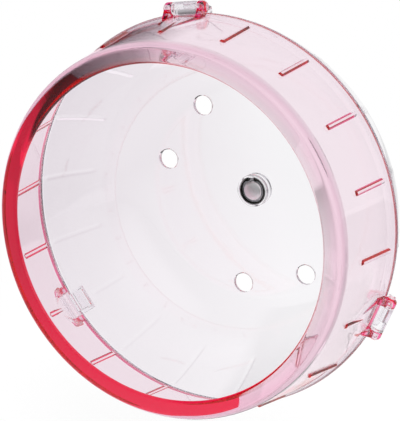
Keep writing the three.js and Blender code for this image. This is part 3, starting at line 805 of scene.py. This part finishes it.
def ring_profile(turn):
    """The ring's closed outline at a turn, with the rib or pad that stands on it there."""
    rib = RING_RIB_HEIGHT * rib_rise(turn, RIB_TOP_HALF, RIB_FOOT_HALF)
    flare_length = RING_BACK - FLARE_FRONT
    flare_height = SEAM_RADIUS - ring_outer(RING_BACK)

    def into_flare(depth):
        return max(depth - FLARE_FRONT, 0.0) / flare_length

    def lift(depth):
        return max(pad_rise(turn, depth), flare_height * into_flare(depth) ** 2)

    def outer(depth):
        inside = min(depth - RING_RIB_FRONT, RING_RIB_BACK - depth)
        nose = min(max(inside / RING_RIB_NOSE, 0.0), 1.0)
        return ring_outer(depth) + max(rib * nose, lift(depth))

    def inner(depth):
        slope = math.tan(RING_TAPER) + 2 * flare_height * into_flare(depth) / flare_length
        return ring_outer(depth) + lift(depth) - RING_WALL * math.hypot(1, slope)

    rib_rows = [RING_RIB_FRONT, RING_RIB_FRONT + RING_RIB_NOSE]
    wall_rows = [8.0, 12.0, *rib_rows, *spread(16.5, 35.5, 19)]
    flare_rows = spread(FLARE_FRONT, RING_BACK, 11)[:-1]
    # The inside is straight from the lip to the ribs' noses, so it has no rows there.
    inner_rows = wall_rows[3:] + flare_rows
    return rounded([
        *[(*point, 0) for point in lip_rim + lip_flat + lip_outer],
        *[(outer(d), d, 0) for d in wall_rows + flare_rows],
        (outer(RING_BACK), RING_BACK, RING_EDGE_ROUND),
        (inner(RING_BACK), RING_BACK, RING_EDGE_ROUND),
        *[(inner(d), d, 0) for d in reversed(inner_rows)],
        (ring_inner(lip_back_depth), lip_back_depth, LIP_FILLET),
    ])


ring_turns = shell_turns(RIB_TOP_HALF, RIB_FOOT_HALF)
front_ring = new_piece("front_ring_shell", lathe(ring_profile, ring_turns))

LUG_FRONT, LUG_FRONT_TOP, LUG_FOOT, LUG_ROUND = 34.5, 87.0, 85.7, 1.9
LUG_HEEL, LUG_ARC = (40.8, 86.6), (-90, 125)
LUG_EDGE, LUG_CORE_INSET, LUG_CORE_SHIFT = 0.6, 0.5, 0.3
LUG_CORE_HALF = LUG_WIDTH / 2 - LUG_EDGE
LUG_CORE_MIDDLE = GAP_HALF + LUG_WIDTH / 2 - LUG_CORE_SHIFT
KNOB_EASE = [(0, 0.4), (0.15, 0.1), (0.45, 0)]
SOCKET_RADIUS, SOCKET_DEPTH = 1.7, 3.2


def turned(stations, turn):
    """A solid turned about the pivot at a turn, from (across, radius) stations."""
    form = bmesh.new()
    rings = [
        across_turn(form, round_about(radius, full_circle), across, turn) for across, radius in stations
    ]
    close_rings(form, rings)
    return form


knob_end = [
    (
        GAP_HALF + LUG_WIDTH - LUG_ROUND + LUG_ROUND * math.sin(a),
        KNUCKLE_OUTER - LUG_ROUND + LUG_ROUND * math.cos(a),
    )
    for a in spread(0, math.pi / 2, 8)
]
# The knob's inner face has a small eased edge, and its outer end is round.
knob = [(GAP_HALF + across, KNUCKLE_OUTER - drop) for across, drop in KNOB_EASE] + knob_end
for turn in LATCH_TURNS:
    combine(front_ring, prism(barrel_groove, GAP_HALF, 0, turn), "DIFFERENCE")
    lug = [
        (LUG_FRONT, LUG_FOOT),
        LUG_HEEL,
        *round_about(KNUCKLE_OUTER - LUG_CORE_INSET, spread(*LUG_ARC, 24)),
        (LUG_FRONT, LUG_FRONT_TOP),
    ]
    for side in (-1, 1):
        web = prism(lug, LUG_CORE_HALF, side * LUG_CORE_MIDDLE, turn, bevel=LUG_EDGE)
        combine(front_ring, web, "UNION")
        combine(front_ring, turned([(side * across, radius) for across, radius in knob], turn), "UNION")
    sockets = prism(round_about(SOCKET_RADIUS, full_circle), GAP_HALF + SOCKET_DEPTH, 0, turn)
    combine(front_ring, sockets, "DIFFERENCE")
polish(front_ring)

# Pink polystyrene is pale where the wall is thin, and crimson where light is shut in it.
pink_polystyrene = clear_plastic(
    "pink_polystyrene", skin="#FEFCFD", depth_colour="#FA3CB2", density=65.0, roughness=MOULD_POLISH,
    lip_glow="#FE2C58", rib_glow="#FE6CA8", edge_glow="#FBD3E2",
)
front_ring.data.materials.append(pink_polystyrene)
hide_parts("front_ring")
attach(front_ring, "wheel")


# Latches
# Three clear clips between the lugs. Each has a barrel with a pin at each end that snaps into the lugs,
# an arm that lies over the seam and a hook behind the bowl's ridge. They are moulded from the bowl's
# polystyrene.
PIN_RADIUS, PIN_LENGTH = 1.4, 2.9
ARM_SLOPE, ARM_THICKNESS = 19, 1.8
HOOK_FRONT, HOOK_BACK, HOOK_TIP, HOOK_ROUND = 10.4, 12.3, -4.4, 0.5
LATCH_EDGE = 0.2


def latch_outline():
    """The clip's closed side view as (depth, radius) points: hook, arm and barrel."""
    slope = math.radians(ARM_SLOPE)
    arm_top = 90 - ARM_SLOPE
    run = Vector((math.cos(slope), -math.sin(slope)))
    top_foot = KNUCKLE_OUTER * Vector((math.cos(math.radians(arm_top)), math.sin(math.radians(arm_top))))
    low_foot = top_foot - ARM_THICKNESS * Vector((math.sin(slope), math.cos(slope)))

    def on_line(foot, back):
        out = foot.y + (back - foot.x) * run.y / run.x
        return (PIVOT_DEPTH + back, PIVOT_RADIUS + out)

    def beside(back, out):
        return (PIVOT_DEPTH + back, PIVOT_RADIUS + out)

    arm_low = arm_top - math.degrees(math.acos((KNUCKLE_OUTER - ARM_THICKNESS) / KNUCKLE_OUTER))
    return [
        on_line(low_foot, HOOK_FRONT),
        beside(HOOK_FRONT, HOOK_TIP + HOOK_ROUND),
        beside(HOOK_FRONT + HOOK_ROUND, HOOK_TIP),
        beside(HOOK_BACK - HOOK_ROUND, HOOK_TIP),
        beside(HOOK_BACK, HOOK_TIP + HOOK_ROUND),
        on_line(top_foot, HOOK_BACK),
        *round_about(KNUCKLE_OUTER, spread(arm_top, 360 + arm_low, 48)),
    ]


for number, turn in enumerate(LATCH_TURNS, 1):
    clip = prism(latch_outline(), LATCH_HALF, 0, turn, bevel=LATCH_EDGE)
    latch = new_piece(f"latch_{number}_clip", clip)
    pins = prism(round_about(PIN_RADIUS, full_circle), GAP_HALF + PIN_LENGTH, 0, turn, bevel=SMALL_EDGE)
    combine(latch, pins, "UNION")
    polish(latch)
    latch.data.materials.append(crystal_polystyrene)
    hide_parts(f"latch_{number}")
    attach(latch, f"latch_{number}")


# Studio
# A sheet of white paper, a little shaded round the wheel. In the plastic it shows a painted pool of
# light that fades to the sides, a painted pink light on the left, and painted shade ahead of the wheel
# where it is mirrored.
# The room is lit, but dark on its left above the paper, with a soft window at the upper front right.

# The paper's sizes are in metres. The camera sees it white, and its shadow only close to the wheel.
PAPER_HALF, PAPER_DROP = 8.0, 0.06
SEEN_THROUGH = 0.9
ACROSS_VIEW, ALONG_VIEW = (0.889, 0.458, 0), (-0.458, 0.889, 0)
POOL_MIDDLE = 0.08
floor_height = cad_box[0].z - PAPER_DROP
sheet = bmesh.new()
sheet.faces.new([
    sheet.verts.new((PAPER_HALF * x, PAPER_HALF * y, floor_height))
    for x, y in ((-1, -1), (1, -1), (1, 1), (-1, 1))
])
floor = new_piece("floor", sheet)
floor_paper = new_material("floor_paper")
tree = floor_paper.node_tree
path = add_node(tree, "ShaderNodeLightPath")
seen = add_node(
    tree, "ShaderNodeMath", {"operation": "MAXIMUM"},
    {0: path.outputs["Is Transmission Ray"], 1: path.outputs["Is Glossy Ray"]},
)
through = add_node(
    tree, "ShaderNodeMath", {"operation": "MULTIPLY", 1: SEEN_THROUGH}, {0: seen.outputs[0]},
)
place = add_node(tree, "ShaderNodeTexCoord")
away = add_node(
    tree, "ShaderNodeVectorMath", {"operation": "LENGTH"}, {0: place.outputs["Object"]},
)
fade = add_node(
    tree, "ShaderNodeMapRange", {"From Min": 0.16, "From Max": 0.4, "To Min": 0.7, "To Max": 1.0},
    {"Value": away.outputs["Value"]},
)
direct = add_node(
    tree, "ShaderNodeMath", {"operation": "MULTIPLY"},
    {0: path.outputs["Is Camera Ray"], 1: fade.outputs["Result"]},
)
share = add_node(
    tree, "ShaderNodeMath", {"operation": "MAXIMUM"}, {0: direct.outputs[0], 1: through.outputs[0]},
)
# The painted pool of light lies across the view. Beyond it the paper is painted bright again, far behind
# and in front.
across = add_node(
    tree, "ShaderNodeVectorMath", {"operation": "DOT_PRODUCT", 1: ACROSS_VIEW},
    {0: place.outputs["Object"]},
)
beside = add_node(
    tree, "ShaderNodeMath", {"operation": "SUBTRACT", 1: POOL_MIDDLE}, {0: across.outputs["Value"]},
)
aside = add_node(tree, "ShaderNodeMath", {"operation": "ABSOLUTE"}, {0: beside.outputs[0]})
pool = add_node(
    tree, "ShaderNodeMapRange", {"From Min": 0.05, "From Max": 0.45, "To Min": 1.0, "To Max": 0.55},
    {"Value": aside.outputs[0]},
)
along = add_node(
    tree, "ShaderNodeVectorMath", {"operation": "DOT_PRODUCT", 1: ALONG_VIEW},
    {0: place.outputs["Object"]},
)
# Painted shade: in mirror reflections the paper's emission is dimmed towards the camera, ahead of the
# wheel.
near = add_node(
    tree, "ShaderNodeMapRange",
    {
        "interpolation_type": "SMOOTHSTEP",
        "From Min": -0.55, "From Max": -0.12, "To Min": 0.2, "To Max": 1.0,
    },
    {"Value": along.outputs["Value"]},
)
far = add_node(
    tree, "ShaderNodeMapRange",
    {"interpolation_type": "SMOOTHSTEP", "From Min": 0.9, "From Max": 1.4, "To Min": 0.0, "To Max": 1.0},
    {"Value": along.outputs["Value"]},
)
front = add_node(
    tree, "ShaderNodeMapRange",
    {
        "interpolation_type": "SMOOTHSTEP",
        "From Min": -0.6, "From Max": -0.2, "To Min": 1.0, "To Max": 0.0,
    },
    {"Value": along.outputs["Value"]},
)
outside = add_node(
    tree, "ShaderNodeMath", {"operation": "MAXIMUM"},
    {0: far.outputs["Result"], 1: front.outputs["Result"]},
)
rising = add_node(
    tree, "ShaderNodeMath", {"operation": "MAXIMUM"}, {0: pool.outputs["Result"], 1: outside.outputs[0]},
)
mirrored = add_node(
    tree, "ShaderNodeMix", {"data_type": "FLOAT", "A": 1.0},
    {"Factor": path.outputs["Is Reflection Ray"], "B": near.outputs["Result"]},
)
falloff = add_node(
    tree, "ShaderNodeMath", {"operation": "MULTIPLY"},
    {0: rising.outputs[0], 1: mirrored.outputs["Result"]},
)
level = add_node(
    tree, "ShaderNodeMath", {"operation": "MAXIMUM"},
    {0: falloff.outputs[0], 1: path.outputs["Is Camera Ray"]},
)
paper = add_node(tree, "ShaderNodeBsdfDiffuse", {"Color": (*linear("#EFEFEF"), 1)})
# The pink on the left is painted light: what the ring's colour would throw on it.
tint = add_node(
    tree, "ShaderNodeMapRange", {"From Min": -0.3, "From Max": 0.05}, {"Value": across.outputs["Value"]},
)
plain = add_node(
    tree, "ShaderNodeMath", {"operation": "MAXIMUM"},
    {0: front.outputs["Result"], 1: path.outputs["Is Camera Ray"]},
)
free_of_painted_pink = add_node(
    tree, "ShaderNodeMath", {"operation": "MAXIMUM"}, {0: tint.outputs["Result"], 1: plain.outputs[0]},
)
glow = add_node(
    tree, "ShaderNodeMix",
    {"data_type": "RGBA", 6: (*linear("#FFF0FA"), 1), 7: (*linear("#FFFFFF"), 1)}, {0: free_of_painted_pink.outputs[0]},
)
white = add_node(
    tree, "ShaderNodeEmission", None, {"Color": glow.outputs[2], "Strength": level.outputs[0]},
)
mixed = add_node(
    tree, "ShaderNodeMixShader", None,
    {0: share.outputs[0], 1: paper.outputs["BSDF"], 2: white.outputs["Emission"]},
)
add_node(tree, "ShaderNodeOutputMaterial", None, {"Surface": mixed.outputs["Shader"]})
floor.data.materials.append(floor_paper)

# The room shows in the plastic only. The camera sees it white, and other surfaces get an even light.
DARK_LEVEL, DIFFUSE_LEVEL = 0.03, 0.5
WINDOW, UP_AND_BACK = (0.55, -0.6, 0.58), (0, 0.15, 1)
world = bpy.data.worlds.new("studio")
bpy.context.scene.world = world
world.use_nodes = True
tree = world.node_tree
tree.nodes.clear()
path = add_node(tree, "ShaderNodeLightPath")
seen = add_node(
    tree, "ShaderNodeMath", {"operation": "MAXIMUM"},
    {0: path.outputs["Is Glossy Ray"], 1: path.outputs["Is Transmission Ray"]},
)
place = add_node(tree, "ShaderNodeTexCoord")
towards = add_node(tree, "ShaderNodeSeparateXYZ", None, {0: place.outputs["Generated"]})
leftward = add_node(
    tree, "ShaderNodeMapRange",
    {
        "interpolation_type": "SMOOTHSTEP",
        "From Min": -0.56, "From Max": -0.42, "To Min": 1.0, "To Max": 0.0,
    },
    {"Value": towards.outputs["X"]},
)
height = add_node(
    tree, "ShaderNodeVectorMath", {"operation": "DOT_PRODUCT", 1: UP_AND_BACK},
    {0: place.outputs["Generated"]},
)
above = add_node(
    tree, "ShaderNodeMapRange",
    {
        "interpolation_type": "SMOOTHSTEP",
        "From Min": 0.02, "From Max": 0.1, "To Min": 0.0, "To Max": 1.0,
    },
    {"Value": height.outputs["Value"]},
)
dark_left = add_node(
    tree, "ShaderNodeMath", {"operation": "MULTIPLY"},
    {0: leftward.outputs["Result"], 1: above.outputs["Result"]},
)
ahead = add_node(
    tree, "ShaderNodeMapRange",
    {
        "interpolation_type": "SMOOTHSTEP",
        "From Min": -0.5, "From Max": 0.1, "To Min": 0.5, "To Max": 0.85,
    },
    {"Value": towards.outputs["Y"]},
)
lit = add_node(
    tree, "ShaderNodeMix", {"data_type": "FLOAT", "B": DARK_LEVEL},
    {"Factor": dark_left.outputs[0], "A": ahead.outputs["Result"]},
)
window = add_node(
    tree, "ShaderNodeVectorMath", {"operation": "DOT_PRODUCT", 1: WINDOW},
    {0: place.outputs["Generated"]},
)
glow = add_node(
    tree, "ShaderNodeMapRange",
    {"interpolation_type": "SMOOTHSTEP", "From Min": 0.7, "From Max": 1.0, "To Min": 0.0, "To Max": 0.5},
    {"Value": window.outputs["Value"]},
)
surround = add_node(
    tree, "ShaderNodeMath", {"operation": "ADD"}, {0: lit.outputs["Result"], 1: glow.outputs["Result"]},
)
indoors = add_node(
    tree, "ShaderNodeMix", {"data_type": "FLOAT", "A": DIFFUSE_LEVEL},
    {"Factor": seen.outputs[0], "B": surround.outputs[0]},
)
level = add_node(
    tree, "ShaderNodeMath", {"operation": "MAXIMUM"},
    {0: indoors.outputs["Result"], 1: path.outputs["Is Camera Ray"]},
)
room = add_node(
    tree, "ShaderNodeBackground", {"Color": (*linear("#FFFFFF"), 1)}, {"Strength": level.outputs[0]},
)
add_node(tree, "ShaderNodeOutputWorld", None, {"Surface": room.outputs["Background"]})

WHEEL_MIDDLE = Vector((0, -0.045, 0))


def soft_box(name, place, size, power):
    """A square softbox that faces the wheel. The plastic doesn't mirror it."""
    lamp = bpy.data.lights.new(name, "AREA")
    lamp.shape = "SQUARE"
    lamp.size = size
    lamp.energy = power
    box = bpy.data.objects.new(name, lamp)
    bpy.context.scene.collection.objects.link(box)
    box.location = place
    aim = WHEEL_MIDDLE - box.location
    box.rotation_euler = aim.to_track_quat("-Z", "Y").to_euler()
    box.visible_glossy = False
    box.visible_transmission = False


soft_box("key_box", (0.8, -1.0, 1.0), size=1.0, power=16)
soft_box("fill_box", (-0.9, -0.5, 0.35), size=0.7, power=5)
soft_box("top_box", (0.0, 0.1, 1.0), size=0.7, power=6)


# Camera
# It stands to the right of the mouth and a little above it, with a long lens. Many bounces let light
# through all the walls that stand behind one another.
VIEW_AZIMUTH, VIEW_ELEVATION = math.radians(27.283), math.radians(14.846)
VIEW_DISTANCE = 0.7727
VIEW_RIGHT, VIEW_UP = 0.01502, 0.0104
LENS = 157.24
BOUNCES = 128

mouth = Vector((0, -AXLE_END_DEPTH * MM, 0))
rightward = Vector((math.cos(VIEW_AZIMUTH), math.sin(VIEW_AZIMUTH), 0))
backward = Vector((
    math.sin(VIEW_AZIMUTH) * math.cos(VIEW_ELEVATION),
    -math.cos(VIEW_AZIMUTH) * math.cos(VIEW_ELEVATION),
    math.sin(VIEW_ELEVATION),
))
upward = backward.cross(rightward)
eye = mouth + rightward * VIEW_RIGHT + upward * VIEW_UP + backward * VIEW_DISTANCE
lens = bpy.data.cameras.new("camera")
lens.lens = LENS
lens.clip_start = 0.01
camera = bpy.data.objects.new("camera", lens)
bpy.context.scene.collection.objects.link(camera)
facing_wheel = Matrix((rightward, upward, backward)).transposed().to_4x4()
camera.matrix_world = Matrix.Translation(eye) @ facing_wheel

scene = bpy.context.scene
scene.camera = camera
scene.view_settings.view_transform = "Standard"
scene.cycles.max_bounces = BOUNCES
scene.cycles.transmission_bounces = BOUNCES
scene.cycles.glossy_bounces = BOUNCES
